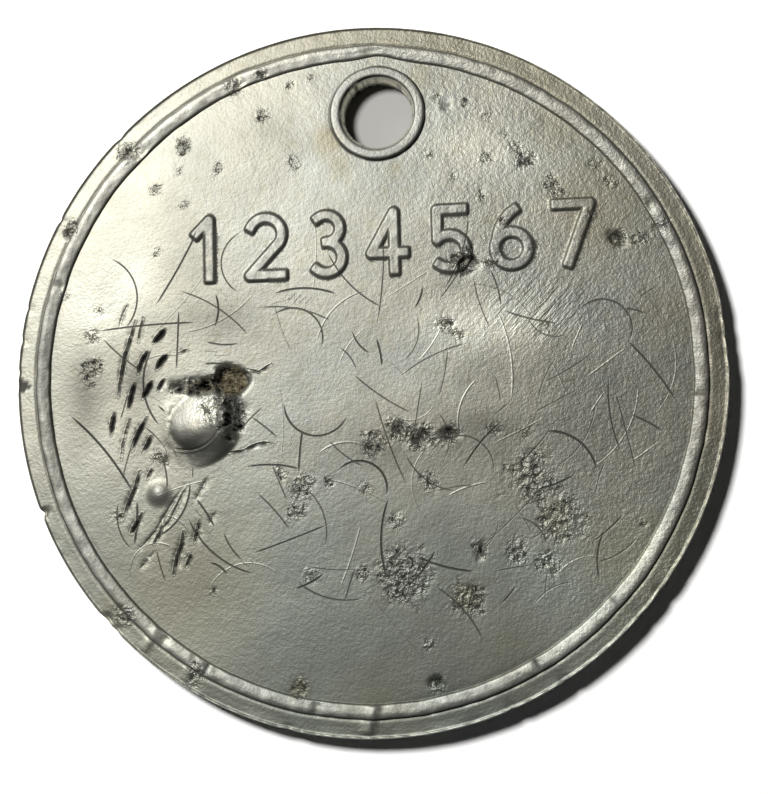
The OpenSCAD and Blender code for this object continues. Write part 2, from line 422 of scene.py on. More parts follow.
def number_depth(x, y):
    """How far inside the strokes of the whole number each point of the field lies."""
    across, up = turned(x, y, (row_x, row_y), 1, 1, row_turn)
    depth = np.full(len(x), -9.0)
    for i, value in enumerate(NUMBER):
        middle = (i - (len(NUMBER) - 1) / 2) * digit_pitch
        near = (np.abs(across - middle) < digit_w) & (np.abs(up) < digit_h)
        for points, square_start, square_end in digit_strokes(value):
            found = stroke_depth(across[near] - middle, up[near], points, square_start, square_end)
            depth[near] = np.maximum(depth[near], found)
    return depth


print("digits:", len(NUMBER), "strokes:", sum(len(digit_strokes(value)) for value in NUMBER))

# %% [markdown]
# Burial ate into the face in patches. Charting them, one row a patch, keeps them where the real
# disc has them. The columns are the patch's place, its radius and how badly it is eaten.

# %% Where the face is eaten
EATEN_PATCHES = [
    # x, y, radius, depth
    [6.3, 7.2, 0.82, 1.0], [7.8, 7.1, 0.5, 0.6], [0.6, -4.3, 0.75, 0.8], [2.1, -3.4, 0.75, 0.9],
    [3.5, -3.9, 0.88, 0.9], [5.4, -3.7, 0.57, 1.0], [8.0, -3.5, 0.5, 0.6], [10.0, -3.6, 0.44, 0.5],
    [10.4, -6.6, 1.57, 0.6], [12.1, -9.0, 1.38, 0.6], [9.5, -10.9, 0.75, 0.7], [11.4, -11.8, 0.75, 0.5],
    [2.3, -12.4, 1.76, 0.7], [6.3, -13.9, 1.01, 0.8], [4.0, -6.6, 0.57, 0.6], [1.8, -9.1, 0.5, 0.6],
    [7.1, -10.9, 0.38, 0.9], [4.4, -19.0, 0.5, 0.8], [17.1, -9.2, 0.31, 0.5], [4.0, -16.7, 0.38, 0.5],
    [-5.3, -6.0, 0.44, 0.7], [-3.9, -6.9, 0.75, 0.8], [-4.2, -8.4, 0.57, 0.7], [-2.3, -6.7, 0.38, 0.5],
    [0.1, -7.1, 0.44, 0.5], [-3.4, -12.4, 0.5, 0.5], [-11.2, -11.4, 0.38, 0.5], [-9.6, -13.5, 0.31, 0.4],
    [-4.1, -19.4, 0.57, 0.5], [-0.1, -12.4, 0.5, 0.6], [-15.3, -15.0, 0.75, 0.6], [-10.5, -18.6, 0.63, 0.7],
    [-15.7, -8.8, 0.38, 0.5], [-11.9, 15.0, 0.62, 0.90], [-12.2, 13.4, 0.26, 0.50], [-13.6, 12.2, 0.37, 0.6],
    [-9.6, 13.5, 0.32, 0.50], [-4.6, 13.7, 0.48, 0.6], [-6.7, 16.8, 0.40, 0.70], [-3.6, 19.3, 0.26, 0.6],
    [-4.9, 18.8, 0.26, 0.50], [-6.7, 19.5, 0.40, 0.80], [-8.6, 18.8, 0.50, 0.80], [-15.5, 14.7, 0.63, 0.8],
    [-19.1, 9.7, 0.5, 0.8], [-19.4, 5.4, 0.32, 0.4], [-17.2, 4.4, 0.42, 0.32], [-17.7, 2.7, 0.55, 0.45],
    [-17.7, 0.8, 0.70, 0.75], [-17.8, -0.3, 0.40, 0.40], [-13.1, -4.9, 0.62, 0.60],
    [-13.5, 8.1, 0.32, 0.4], [-11.7, 11.2, 0.37, 0.4], [4.6, 17.7, 0.25, 0.5], [6.4, 17.4, 0.25, 0.7],
    [7.7, 16.6, 0.38, 0.5], [8.8, 15.3, 0.30, 0.5], [4.0, 14.1, 0.25, 0.5], [7.6, 13.8, 0.38, 0.6],
    [9.5, 14.4, 0.5, 0.7], [10.2, 13.5, 0.60, 0.8], [11.7, 12.1, 0.44, 0.8], [12.1, 11.4, 0.38, 0.7],
    [5.5, 12.6, 0.31, 0.4], [7.3, 11.3, 0.38, 0.5], [14.4, 13.1, 0.44, 0.6], [15.5, 12.1, 0.5, 0.6],
    [14.3, 10.0, 0.44, 0.5], [8.7, 9.6, 0.31, 0.5], [15.8, 8.4, 0.57, 0.9], [17.3, 8.4, 0.5, 0.6],
    [18.4, 9.2, 0.5, 0.7], [10.7, 8.0, 0.31, 0.5], [5.0, 3.2, 0.5, 0.8], [5.9, 2.6, 0.44, 0.8],
    [11.4, 2.9, 0.38, 0.5], [14.9, 3.0, 0.31, 0.5],
]


def eaten_share(x, y):
    """How badly each point is eaten, from 0 to 1, with ragged edges around every patch."""
    warp = 0.75 * grain(x, y, 1.1, 3.1, 3) + 0.40 * grain(x, y, 0.35, 4.1, 3)
    return patches(x, y, EATEN_PATCHES, 0.25, 1.45, 0.75 * warp)


print("eaten patches:", len(EATEN_PATCHES))

# %% [markdown]
# Gas that was trapped in the pour lifted one large blister and two small ones beside it. The large one is
# not an even dome: it rises from its left side, and along a curved fold the dome ends at a thin lip, from
# which a steep skirt falls to the field. Its right flank and its crest have crumbled, and beside the crest
# the skin broke open into a hollow with brown walls. The parts are made one by one and multiplied.

# %% The blisters and the hollows
blister_x = -10.49
blister_y = -3.20
blister_h = high[2] - field_z
left_x = -12.50
left_rise = 0.10
crown_y = -2.9
lid_length = 3.4
lid_right_x = -8.95
lid_top_y = -1.15
fold_x = -11.38
fold_y = -1.97
fold_r = 2.74
fold_w = 0.05
crease_depth = 0.11
lip_h = 0.05
skirt_w = 1.1
SMALL_BLISTERS = [
    # x, y, radius, height
    [-13.12, -7.31, 1.02, 0.27],
    [-13.05, -4.91, 0.70, 0.10],
]
HOLLOWS = [
    # x, y, radius along, radius across, turn in degrees, depth
    [-8.55, -0.24, 1.05, 0.95, 20, 0.75],
    [-10.05, -0.36, 0.55, 0.30, 5, 0.30],
    [6.45, 7.03, 0.70, 0.55, 30, 0.34],
    [5.27, -3.62, 0.45, 0.35, 0, 0.30],
    [15.76, 8.47, 0.42, 0.40, 0, 0.26],
    [10.24, 13.44, 0.30, 0.18, -40, 0.20],
    [4.42, -18.95, 0.40, 0.24, 20, 0.28],
    [7.20, -10.96, 0.42, 0.16, 60, 0.28],
    [5.09, 17.22, 0.18, 0.15, 0, 0.16],
    [-19.14, 9.67, 0.45, 0.30, 60, 0.22],
    [3.42, -3.90, 0.60, 0.30, 15, 0.22],
    [2.08, -3.39, 0.42, 0.26, -20, 0.20],
]


def blister_height(x, y):
    """Height of the blisters above the field: lid, skirt, fold, the rise at the left and the small ones."""
    past_left = x - left_x - 0.10 * (y - crown_y) ** 2
    past_fold = np.hypot(x - fold_x, y - fold_y) - fold_r
    from_fold = np.maximum(-past_fold, 0)
    rise = 0.14 + 0.62 * np.clip(past_left / lid_length, 0, 1) + 0.26 * fade(2.3, 3.7, past_left)
    lid = blister_h * rise - 0.05 * np.log1p(np.exp((y - crown_y) / 0.25))
    lid -= 0.32 * np.exp(-(from_fold / 0.8) ** 2) - 0.03 * grain(x, y, 0.9, 6.6)
    lid += 0.28 * crust_share(x, y) * fade(-9.5, -8.9, x)
    lid = np.clip(lid, 0.04, None)
    lid *= fade(-0.04, 0.08, past_left) * (1 - fade(lid_right_x, lid_right_x + 1.2, x))
    lid *= 1 - fade(lid_top_y, lid_top_y + 1.05, y)
    skirt = np.clip(1 - past_fold / skirt_w, 0, 1) ** 0.7
    crease = crease_depth * np.exp(-((past_fold + 0.09) / fold_w) ** 2)
    lip = lip_h * np.exp(-((past_fold - 0.01) / fold_w) ** 2)
    fold_here = fade(0.0, 0.5, past_left) * (1 - fade(-9.2, -8.7, x)) * (y < fold_y)
    height = lid * skirt + fold_here * (lip - crease)
    flank = left_rise * np.exp(-(np.minimum(past_left, 0) / 0.55) ** 2) * (past_left < 0)
    height += flank * (1 - fade(0.7, 1.7, np.abs(y - crown_y)))
    for sx, sy, radius, lift in SMALL_BLISTERS:
        away = np.hypot(x - sx, y - sy) / radius
        height = np.maximum(height, lift * np.cos(np.clip(away, 0, 1) * math.pi / 2) ** 2)
    return height


def crust_share(x, y):
    """Where the blister's skin has crumbled, from 0 to 1."""
    ragged = 0.5 * grain(x, y, 0.8, 9.7, 3)
    flank = from_oval(x, y, (-8.58, -2.50), 0.85, 1.35)
    crest = from_oval(x, y, (-10.60, -0.52), 1.55, 0.60)
    return 1 - fade(0.6, 1.15, np.minimum(flank, crest) + ragged)


def hollow_depth(x, y):
    """Depth of the broken hollows, with uneven walls."""
    warp = grain(x, y, 0.9, 8.3, 4)
    depth = np.zeros(len(x))
    for hx, hy, along, across, degrees, deep in HOLLOWS:
        u, v = turned(x, y, (hx, hy), along, across, degrees)
        away = (np.abs(u) ** 2.4 + np.abs(v) ** 2.4) ** (1 / 2.4) * (1 + 0.32 * warp)
        depth = np.maximum(depth, deep * (1 - fade(0.76, 0.98, away)))
    return depth


print("blister height:", round(float(blister_h), 2), "hollows:", len(HOLLOWS))

# %% [markdown]
# Tools and years in the soil left gouges and scratches. The few deep gouges are cut into the mesh, each
# as a line with a width and a depth. They lean much the same way and don't meet, as a slipping tool leaves
# them. Dirt has filled the deeper ones, while the shallow grooves are bare, so the deeper ones are
# measured apart too. The many fine scratches are thinner than a cell of the mesh, so the mesh only stores
# how far each point lies from the nearest one, and the material draws the line.

# %% Gouges and scratches
bare_depth = 0.11
reach_of_gap = 0.6
GOUGES = [
    # width, depth, then the points of the line
    [0.20, 0.20, (-15.9, -1.2), (-15.7, 0.1), (-15.5, 1.4), (-15.1, 2.6), (-14.8, 3.7)],
    [0.14, 0.12, (-14.3, 3.9), (-14.5, 3.0), (-14.6, 2.3)],
    [0.50, 0.28, (-13.6, 2.3), (-13.2, 2.7), (-12.9, 3.1)],
    [0.32, 0.24, (-14.6, 0.3), (-14.4, 1.0), (-14.0, 1.7)],
    [0.46, 0.28, (-13.4, 0.6), (-13.1, 1.1), (-12.7, 1.5)],
    [0.38, 0.26, (-14.3, -1.3), (-14.0, -0.8), (-13.7, -0.2)],
    [0.34, 0.28, (-15.2, -1.9), (-15.0, -1.0), (-14.8, -0.3)],
    [0.24, 0.20, (-13.3, -0.8), (-13.1, -0.4), (-12.9, -0.1)],
    [0.34, 0.22, (-16.3, -3.6), (-16.2, -2.9), (-16.1, -2.2)],
    [0.12, 0.12, (-15.6, -5.2), (-15.5, -4.2), (-15.3, -3.3), (-15.1, -2.6)],
    [0.30, 0.22, (-14.9, -4.6), (-14.7, -3.9), (-14.3, -3.1), (-14.0, -2.5)],
    [0.24, 0.18, (-14.2, -4.7), (-13.9, -4.2), (-13.7, -3.7)],
    [0.20, 0.20, (-15.4, -8.9), (-15.0, -7.8), (-14.6, -6.8), (-14.4, -5.9)],
    [0.30, 0.22, (-14.9, -9.9), (-14.5, -9.2), (-14.2, -8.6)],
    [0.12, 0.12, (-13.9, -6.4), (-13.6, -5.8)],
    [0.22, 0.20, (-13.4, -10.5), (-13.0, -9.8), (-12.8, -9.1)],
    [0.24, 0.20, (-12.1, -12.4), (-11.9, -11.4), (-11.6, -10.5), (-11.5, -9.7)],
    [0.18, 0.14, (-11.3, -11.9), (-11.0, -11.2)],
    [0.18, 0.14, (-10.8, -10.4), (-10.6, -9.6), (-10.5, -9.0)],
    [0.30, 0.10, (-11.4, -6.7), (-12.1, -7.7), (-12.7, -8.7), (-13.3, -9.7), (-14.5, -11.1)],
    [0.26, 0.09, (-11.1, -6.6), (-11.6, -7.4), (-12.4, -9.1), (-13.6, -10.3)],
    [0.24, 0.09, (-10.9, -8.0), (-10.4, -7.1), (-10.0, -6.3)],
    [0.16, 0.07, (-14.3, -12.2), (-13.8, -11.5), (-13.3, -10.9)],
    [0.16, 0.07, (-9.9, -9.4), (-9.5, -8.5)],
    [0.20, 0.08, (-15.9, 3.2), (-15.6, 4.2), (-15.2, 5.0)],
    [0.12, 0.14, (-8.7, -4.8), (-7.8, -4.7), (-6.7, -4.2), (-6.0, -4.2)],
    [0.10, 0.12, (-7.5, 0.5), (-6.8, 0.3), (-6.0, 0.8)],
    [0.12, 0.12, (-11.9, 1.6), (-11.4, 1.8)],
]


def gouge_cut(x, y):
    """Depth of the gouges, and how far each point lies outside any gouge and outside a dark one."""
    ragged = 0.045 * grain(x, y, 0.35, 5.5, 4)
    depth = np.zeros(len(x))
    outside = np.full(len(x), reach_of_gap)
    dark_outside = outside.copy()
    for width, deep, *points in GOUGES:
        away, share = along_line(x, y, points)
        taper = 0.30 + 0.62 * fade(-0.05, 0.30, share) * (1 - fade(0.72, 1.05, share))
        gap = np.abs(away) + ragged - 0.40 * width * taper
        depth = np.maximum(depth, deep * taper * (1 - fade(-0.4 * width, 0.03, gap)))
        outside = np.minimum(outside, gap)
        if deep > bare_depth:
            dark_outside = np.minimum(dark_outside, gap)
    return depth, outside, dark_outside


def draw_scratches(count, seed, step=0.35, apart=1.1):
    """Scratches as weights and points, in sets whose own lines never come close to each other."""
    dice = random.Random(seed)
    sets = [[], [], []]
    for _ in range(count):
        x, y = dice.uniform(-16, 19), dice.uniform(-13.5, 5.5)
        angle = dice.uniform(0, math.tau)
        length = dice.uniform(1.2, 6.5)
        turn = dice.uniform(-1, 1) / dice.choice((1.6, 3.5, 9))
        weight = 0.40 + 0.60 * dice.random() ** 2
        points = []
        for _ in range(int(length / step) + 2):
            points.append((x, y))
            angle += turn * step
            x += step * math.cos(angle)
            y += step * math.sin(angle)
        middle = np.array(points)
        if np.hypot(*middle.T).max() > bead_in_r - 0.6:
            continue
        for lines in sets:
            others = [np.array(other) for _, other in lines]
            gaps = [np.hypot(*(middle[:, None] - other[None]).reshape(-1, 2).T).min() for other in others]
            if not gaps or min(gaps) > apart:
                lines.append((weight, points))
                break
    return sets


SCRATCHES = draw_scratches(330, seed=4)
print("gouges:", len(GOUGES), "scratches:", [len(lines) for lines in SCRATCHES])

# %% [markdown]
# The mesh is made finer only where there is something small to show. A cell is split where both ends of
# its edges ask for it, once around the damage and twice along the digits, gouges and hollows, so that the
# whole skin stays under the limit of 200,000 triangles.

# %% Finer cells where the detail is


def mesh_points(bm):
    """The places of all the mesh's points, one row each."""
    return np.array([vert.co[:] for vert in bm.verts])


def wanted_splits(x, y):
    """How often the cells at each point are split in half."""
    inside = number_depth(x, y)
    eaten = eaten_share(x, y)
    hollow = hollow_depth(x, y)
    _, gouge_gap, _ = gouge_cut(x, y)
    crust = crust_share(x, y)
    from_blister = np.hypot(x - blister_x, y - blister_y)
    splits = np.zeros(len(x), int)
    once = (inside > -0.40) | (eaten > 0.15) | (hollow > 0.01) | (gouge_gap < 0.3)
    once |= (from_blister < 3.1) | (np.hypot(x, y) > bead_in_r - 0.6)
    for sx, sy, radius, _ in SMALL_BLISTERS:
        once |= np.hypot(x - sx, y - sy) < radius + 0.3
    twice = ((inside > -0.16) & (inside < 0.34)) | (gouge_gap < 0.1) | (hollow > 0.1) | (crust > 0.2)
    twice |= np.abs(np.hypot(x - fold_x, y - fold_y) - fold_r) < 0.3
    splits[once] = 1
    splits[twice] = 2
    return splits


def on_field(points):
    """Whether each point lies on the flat field."""
    x, y, z = points.T
    return (np.abs(z - field_z) < 1e-3) & (np.hypot(x, y) < bead_in_r - 0.015)


for level in (1, 2):
    tag.verts.ensure_lookup_table()
    tag.verts.index_update()
    points = mesh_points(tag)
    flat = on_field(points)
    splits = np.zeros(len(points), int)
    splits[flat] = wanted_splits(points[flat, 0], points[flat, 1])
    chosen = [
        edge for edge in tag.edges
        if splits[edge.verts[0].index] >= level and splits[edge.verts[1].index] >= level
    ]
    bmesh.ops.subdivide_edges(tag, edges=chosen, cuts=1, use_grid_fill=True)
    print("split", level, "edges:", len(chosen), "faces now:", len(tag.faces))

# %% [markdown]
# The rim took the knocks. Chips, cracks and dents are charted by their angle around the disc, and each
# pulls the edge inwards and the border down over its own width. The knocks across the bead that are
# narrower than a fifth of a millimetre are cracks. Scars are low ridges where two streams of metal met
# cold, and the bead bulges outwards where the collar crowds it. The whole edge is a little ragged too,
# because the mould's two halves met there and the thin seam was broken off by hand.

# %% Knocks around the rim
bulge_direction = 87.5
crack_w = 0.2
EDGE_KNOCKS = [
    # angle, width, how far inwards, how far down
    [181.1, 0.55, 0.00, 0.16], [202.6, 0.35, 0.15, 0.40], [223.0, 0.70, 0.08, 0.20],
    [225.3, 0.50, 0.06, 0.16], [2.8, 0.80, 0.06, 0.08], [5.6, 0.90, 0.10, 0.12],
    [8.8, 0.90, 0.08, 0.10], [293.7, 0.30, 0.06, 0.14], [303.3, 0.30, 0.04, 0.12],
    [318.7, 0.35, 0.03, 0.08], [323.4, 0.50, 0.05, 0.12], [327.8, 0.35, 0.02, 0.08],
    [135.6, 0.60, 0.06, 0.10], [152.5, 0.40, 0.04, 0.16], [257.6, 0.60, 0.05, 0.06],
    [173.6, 0.40, 0.07, 0.08], [179.0, 0.30, 0.06, 0.10], [168.2, 0.35, 0.05, 0.08],
]
BEAD_KNOCKS = [
    # angle, width, how far down
    [232.7, 0.22, 0.20], [238.4, 0.16, 0.16], [241.3, 0.14, 0.14], [350.3, 0.12, 0.18],
    [356.1, 0.12, 0.18], [261.7, 0.30, 0.14], [135.1, 0.70, 0.16], [113.1, 0.60, 0.12],
    [30.6, 0.50, 0.12], [300.5, 0.18, 0.10], [317.7, 0.14, 0.08], [163.3, 0.30, 0.12],
]
SCARS = [
    # angle, slant in mm per mm outwards, width, height
    [271.8, -0.30, 0.42, 0.14], [237.7, 0.30, 0.25, 0.09], [230.3, 0.10, 0.30, 0.10],
]


def arc_gap(angle, degrees, radius):
    """Distance along the rim, in millimetres, from each angle to one direction."""
    turn = np.angle(np.exp(1j * (angle - math.radians(degrees))))
    return turn * radius


def rim_moves(points):
    """How far the rim's points move outwards and up."""
    x, y, z = points.T
    radius = np.hypot(x, y)
    angle = np.arctan2(y, x)
    outwards = np.zeros(len(x))
    upwards = np.zeros(len(x))
    at_edge = fade(edge_r - 0.6, edge_r - 0.15, radius)
    on_top = fade(0.7, 1.4, z)
    edge_x = np.cos(angle) * edge_r
    edge_y = np.sin(angle) * edge_r
    ragged = grain(edge_x, edge_y, 0.9, 11.0, 4)
    slow = grain(edge_x, edge_y, 5.0, 12.0, 2)
    outwards -= at_edge * (0.02 + 0.012 * ragged * on_top + 0.004 * slow)
    upwards += at_edge * on_top * (0.035 * ragged - 0.01)
    on_border = fade(bead_out_r, bead_out_r + 0.3, radius) * on_top
    upwards += on_border * 0.014 * grain(x, y, 1.2, 13.0)
    for degrees, width, inwards, down in EDGE_KNOCKS:
        away = np.abs(arc_gap(angle, degrees, edge_r)) / width
        dent = np.clip(1 - away, 0, 1) * fade(edge_r - 1.1, edge_r - 0.1, radius)
        facet = np.clip(1 - away - (edge_r - radius) / 0.8, 0, 1)
        outwards -= inwards * dent * fade(0.35, 1.3, z)
        upwards -= down * facet * on_top
    on_bead = on_top * fade(bead_in_r, bead_in_r + 0.3, radius)
    on_bead *= 1 - fade(bead_out_r - 0.2, bead_out_r + 0.1, radius)
    waviness = grain(edge_x, edge_y, 2.4, 14.0, 3)
    outwards += 0.05 * waviness * fade(bead_in_r - 1, bead_in_r, radius) * (1 - at_edge)
    upwards += on_bead * (0.03 * grain(x, y, 0.8, 15.0) - 0.01)
    for degrees, width, down in BEAD_KNOCKS:
        away = np.abs(arc_gap(angle, degrees, bead_in_r)) / width
        upwards -= down * on_bead * np.clip(1 - away, 0, 1)
    for degrees, slant, width, lift in SCARS:
        across = arc_gap(angle, degrees, radius) - slant * (radius - bead_in_r)
        ridge = np.exp(-(across / width * 1.6) ** 2) * fade(bead_in_r, bead_in_r + 0.2, radius)
        upwards += lift * ridge * on_top * (1 - fade(edge_r - 0.5, edge_r - 0.2, radius))
    bulge = np.exp(-(arc_gap(angle, bulge_direction, edge_r) / 1.3) ** 2)
    bulge *= fade(bead_in_r - 0.5, bead_in_r, radius)
    bulge *= 1 - fade(bead_in_r + 0.4, bead_out_r + 0.05, radius)
    outwards += 0.25 * bulge
    return outwards, upwards


print("edge knocks:", len(EDGE_KNOCKS), "bead knocks:", len(BEAD_KNOCKS), "scars:", len(SCARS))

# %% [markdown]
# Now the skin is moved point by point: the rim first, then the face. The mould was not quite flat, so the
# whole face gets a slow wave, and a few broader waves are charted where the metal sank as it cooled.

# %% Raise and cut the face
WAVES = [
    # x, y, radius along, radius across, turn in degrees, height
    [-17.6, 5.3, 2.6, 1.6, 75, 0.05],
    [-16.0, -0.1, 1.6, 3.2, 0, -0.07],
    [-16.4, -5.0, 2.6, 1.5, 100, 0.05],
    [-7.7, 15.0, 4.0, 2.4, 30, 0.05],
    [14.5, 5.3, 5.0, 2.2, 70, -0.04],
    [10.4, -13.3, 6.0, 2.4, 40, 0.04],
]


def face_waves(x, y):
    """The slow waves of the whole face, in millimetres."""
    slow = grain(x, y, 6.5, 1.0, 2)
    short = grain(x, y, 1.7, 2.0, 3)
    return 0.028 * slow + 0.007 * short + humps(x, y, WAVES)


tag.verts.ensure_lookup_table()
tag.verts.index_update()
rest = mesh_points(tag)
outwards, upwards = rim_moves(rest)
radius = np.maximum(np.hypot(rest[:, 0], rest[:, 1]), 1e-6)
moved = rest.copy()
moved[:, 0] += rest[:, 0] / radius * outwards
moved[:, 1] += rest[:, 1] / radius * outwards
moved[:, 2] += upwards

x, y, z = rest.T
from_hole = np.hypot(x - hole_x, y - hole_y)
top_side = fade(1.0, 1.45, z)
field_only = (1 - fade(bead_in_r - 0.3, bead_in_r, radius)) * fade(collar_r, collar_r + 0.2, from_hole)
inside = number_depth(x, y)
eaten = eaten_share(x, y)
gouge, _, gouge_gap = gouge_cut(x, y)
crust = crust_share(x, y)
hollow = hollow_depth(x, y)
crumb = grain(x, y, 0.42, 21.0, 4)
fine_crumb = grain(x, y, 0.2, 22.0, 3)
number_h = digit_relief * (1 - (1 - np.clip(inside / 0.18, 0, 1)) ** 2)
height = number_h * (1 + 0.12 * grain(x, y, 0.8, 23.0))
height += field_only * blister_height(x, y)
height -= hollow * (1 + 0.25 * crumb)
height -= crust * (0.10 + 0.30 * fade(-0.1, 0.5, crumb + 0.3 * fine_crumb))
height -= gouge
height -= eaten * (0.01 + 0.09 * fade(-0.05, 0.5, crumb + 0.25 * fine_crumb))
height += eaten * 0.07 * fade(0.1, 0.7, -crumb)
moved[:, 2] += top_side * (height + field_only * face_waves(x, y))
print("highest and lowest face point:", moved[:, 2].max(), moved[top_side > 0.9, 2].min())

# %% [markdown]
# Dirt gathers in corners: at the foot of the bead, the collar and the digits, along the lip of the hole,
# in its bore, in the hollows and cracks. The line is broken here and there. Painted shade shares the mark:
# each line is wider and darker on the slope that faces away from the light, mostly towards the lower
# right, and the bore darkens towards its foot. The mesh carries dirt and painted shade as one mark, one
# number for each point, and the material reads it by name. That keeps both on the metal from whichever
# side it is seen.

# %% Dirt and painted shade in the corners and cracks


def towards(angle, degrees):
    """1 in one direction around a middle, 0 beside it and -1 across from it."""
    return np.cos(angle - math.radians(degrees))


chip_direction = EDGE_KNOCKS[0][0]
chip_w = 0.66
chip_reach = 1.10
angle = np.arctan2(y, x)
# shade_side and hole_shade are 1 on the side that faces away from the light, where painted shade widens and
# darkens the lines.
shade_side = 0.5 + 0.5 * towards(angle, -40)
hole_shade = 0.5 + 0.5 * towards(np.arctan2(y - hole_y, x - hole_x), -55)
broken = fade(-0.7, 0.1, grain(x, y, 0.9, 25.0, 3))
on_bead = fade(bead_in_r - 0.1, bead_in_r + 0.1, radius)
on_bead *= 1 - fade(bead_out_r - 0.15, bead_out_r + 0.05, radius)
# Thin lines of dirt with painted shade: the feet of the bead and collar darken towards the lower right, the
# bead's inner foot and the hole's lip towards the upper left, on slopes facing away from the light.
bead_foot = line_at(radius, bead_out_r + 0.03, 0.03 + 0.05 * shade_side) * (0.45 + 0.55 * shade_side)
bead_inner = line_at(radius, bead_in_r + 0.02, 0.04) * (0.85 - 0.5 * shade_side)
collar_foot = line_at(from_hole, collar_r + 0.01, 0.04 + 0.05 * hole_shade) * (0.5 + 0.5 * hole_shade)
collar_lip = line_at(from_hole, lip_r, 0.11) * (1.0 - 0.6 * hole_shade) * (z > 1.5)
in_bore = (from_hole < lip_r - 0.005) & (z < collar_top - 0.1)
# Dirt mottles the bore, and painted shade darkens it towards its foot.
bore_dirt_and_shade = 0.75 * fade(-0.1, 0.5, crumb) + 0.8 * (1 - fade(0.45, 0.8, z + 0.3 * crumb))
# The side of each digit stroke that faces the lower right, away from the light, gets a wider and darker line
# of painted shade.
faces_away = fade(-0.02, 0.05, number_depth(x - 0.04, y + 0.04) - number_depth(x + 0.04, y - 0.04))
hollow_rim = fade(0.01, 0.05, hollow) * (1 - fade(0.08, 0.22, hollow))
chip_share = 1 - np.abs(arc_gap(angle, chip_direction, edge_r)) / chip_w - (edge_r - radius) / chip_reach
dirt_and_painted_shade = np.maximum.reduce([
    bead_foot * top_side * broken,
    bead_inner * top_side * broken,
    collar_foot * top_side * broken,
    collar_lip * (0.35 + 0.65 * broken),
    in_bore * bore_dirt_and_shade,
    line_at(inside, 0, 0.035 + 0.055 * faces_away) * (0.35 + 0.6 * faces_away),
    0.45 * fade(0.08, 0.35, hollow) * fade(-0.1, 0.4, crumb),
    0.9 * hollow_rim * fade(-0.5, 0.1, crumb),
    0.85 * crust * fade(-0.40, 0.25, crumb),
    0.76 * fade(0.0, 0.12, chip_share) * (z > 0.5),
])
for degrees, width, _ in BEAD_KNOCKS:
    if width < crack_w:
        crack = line_at(arc_gap(angle, degrees, bead_in_r), 0, 0.13)
        dirt_and_painted_shade = np.maximum(dirt_and_painted_shade, 0.85 * crack * on_bead * top_side)
print("points with dirt:", int((dirt_and_painted_shade > 0.3).sum()), "of", len(dirt_and_painted_shade))

# %% [markdown]
# Where the ground ate the metal it is pitted, and beside the blister's crest it turned brown. Weak warm
# stains lie over the rest. Each place is charted or follows from the shapes above, so the colour
# always lies where the form is.

# %% Eaten, brown and stained places
STAINS = [
    # x, y, radius, strength
    [-2.4, 15.1, 1.5, 0.9], [-1.7, 13.7, 1.0, 0.7], [3.5, 19.1, 1.1, 0.6], [5.2, 18.6, 0.9, 0.4],
    [1.8, 13.1, 0.8, 0.4], [15.0, 10.9, 4.8, 0.60], [18.5, 3.3, 2.6, 0.35], [-4.1, -19.4, 0.9, 0.7],
    [6.4, -13.7, 1.3, 0.6], [11.8, -9.1, 1.4, 0.4], [15.7, -10.9, 3.4, 0.45], [17.5, -9.1, 0.9, 0.6],
    [12.4, 15.7, 2.6, 0.5], [8.1, 10.1, 1.6, 0.3], [8.9, -17.2, 3.0, 0.35], [-15.8, -14.4, 1.6, 0.4],
    [-11.0, -13.0, 5.5, 0.45], [1.0, -20.0, 3.0, 0.35],
]
from_crater = from_oval(x, y, HOLLOWS[0][:2], 1, 1) * (1 + 0.25 * crumb)
from_crest = from_oval(x, y, (-10.3, -0.55), 1.2, 0.55) + 0.3 * crumb
flaking = 0.36 * (1 - fade(0.5, 1.2, from_oval(x, y, (-9.8, -1.9), 1.1, 1.3)))
eaten = np.maximum.reduce([eaten, crust, 0.8 * (1 - fade(0.7, 1.1, from_crater)), flaking])
brown = np.maximum(1 - fade(0.70, 1.10, from_crater), 0.8 * (1 - fade(0.4, 1.2, from_crest)))
right_border = fade(bead_in_r, bead_out_r, radius) * fade(-0.2, 0.6, towards(angle, 35))
stain = np.maximum.reduce([patches(x, y, STAINS, 0.2, 1.2), 0.6 * right_border, 0.25 * in_bore])
print("stains:", len(STAINS))
